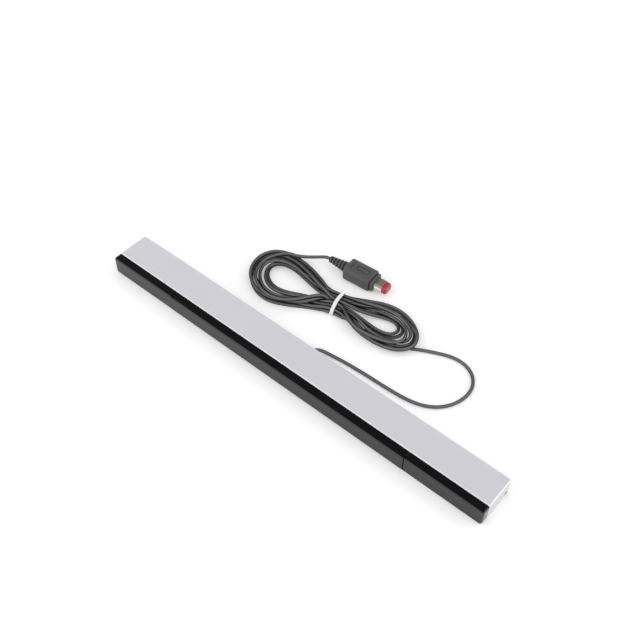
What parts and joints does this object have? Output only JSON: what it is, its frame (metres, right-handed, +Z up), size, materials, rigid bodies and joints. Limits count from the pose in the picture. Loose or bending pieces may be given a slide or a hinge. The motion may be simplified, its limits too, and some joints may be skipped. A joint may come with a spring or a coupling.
{
  "type": "infrared sensor bar",
  "caption": "Slim wired infrared sensor bar: silver shell, smoked front windows, rear cord tied in a hank, and a keyed plug with a ribbed boot.",
  "frame": {"origin": "centre of the bar's footprint at the bottom of its feet, measured without the cord, its hank and its plug", "axes": "+X along the bar, +Y out of the wall that the cord leaves (the windows face -Y), +Z up"},
  "size_m": [0.24, 0.0889, 0.0105],
  "materials": {
    "silver_plastic": "fine satin silver",
    "dark_plastic": "fine matte",
    "smoked_plastic": "polished, almost opaque",
    "foot_rubber": "soft matte",
    "screw_steel": "plated",
    "board_laminate": "bare laminate",
    "led_epoxy": "clear blue tint",
    "tinned_wire": "tinned",
    "resistor_body": "lacquered",
    "wire_insulation": "smooth",
    "cord_jacket": "smooth with a soft sheen",
    "gland_plastic": "smooth",
    "tie_plastic": "smooth white",
    "plug_plastic": "fine matte",
    "tongue_metal": "bright plated",
    "tip_plastic": "moulded red"
  },
  "bodies": {
    "root": {"upper_shell": "silver_plastic", "lower_housing": "dark_plastic", "window_left": "smoked_plastic", "window_right": "smoked_plastic", "front_cover": "smoked_plastic", "foot_pads": "foot_rubber", "housing_screws": "screw_steel", "clamp_screw": "screw_steel", "led_board_left": "board_laminate", "led_board_right": "board_laminate", "ir_leds_left": "led_epoxy", "ir_leds_right": "led_epoxy", "led_legs_left": "tinned_wire", "led_legs_right": "tinned_wire", "resistors": "resistor_body", "lead_wires": "wire_insulation", "link_wire": "wire_insulation", "cord_tail": "cord_jacket", "cord_clamp": "dark_plastic", "cord_gland": "gland_plastic", "cord_free_run": "cord_jacket", "cord_hank": "cord_jacket", "cord_plug_lead": "cord_jacket", "cord_tie": "tie_plastic", "plug_boot": "plug_plastic", "plug_body": "plug_plastic", "plug_tongue": "tongue_metal", "plug_contacts": "tongue_metal", "plug_tip": "tip_plastic"}
  },
  "joints": []
}
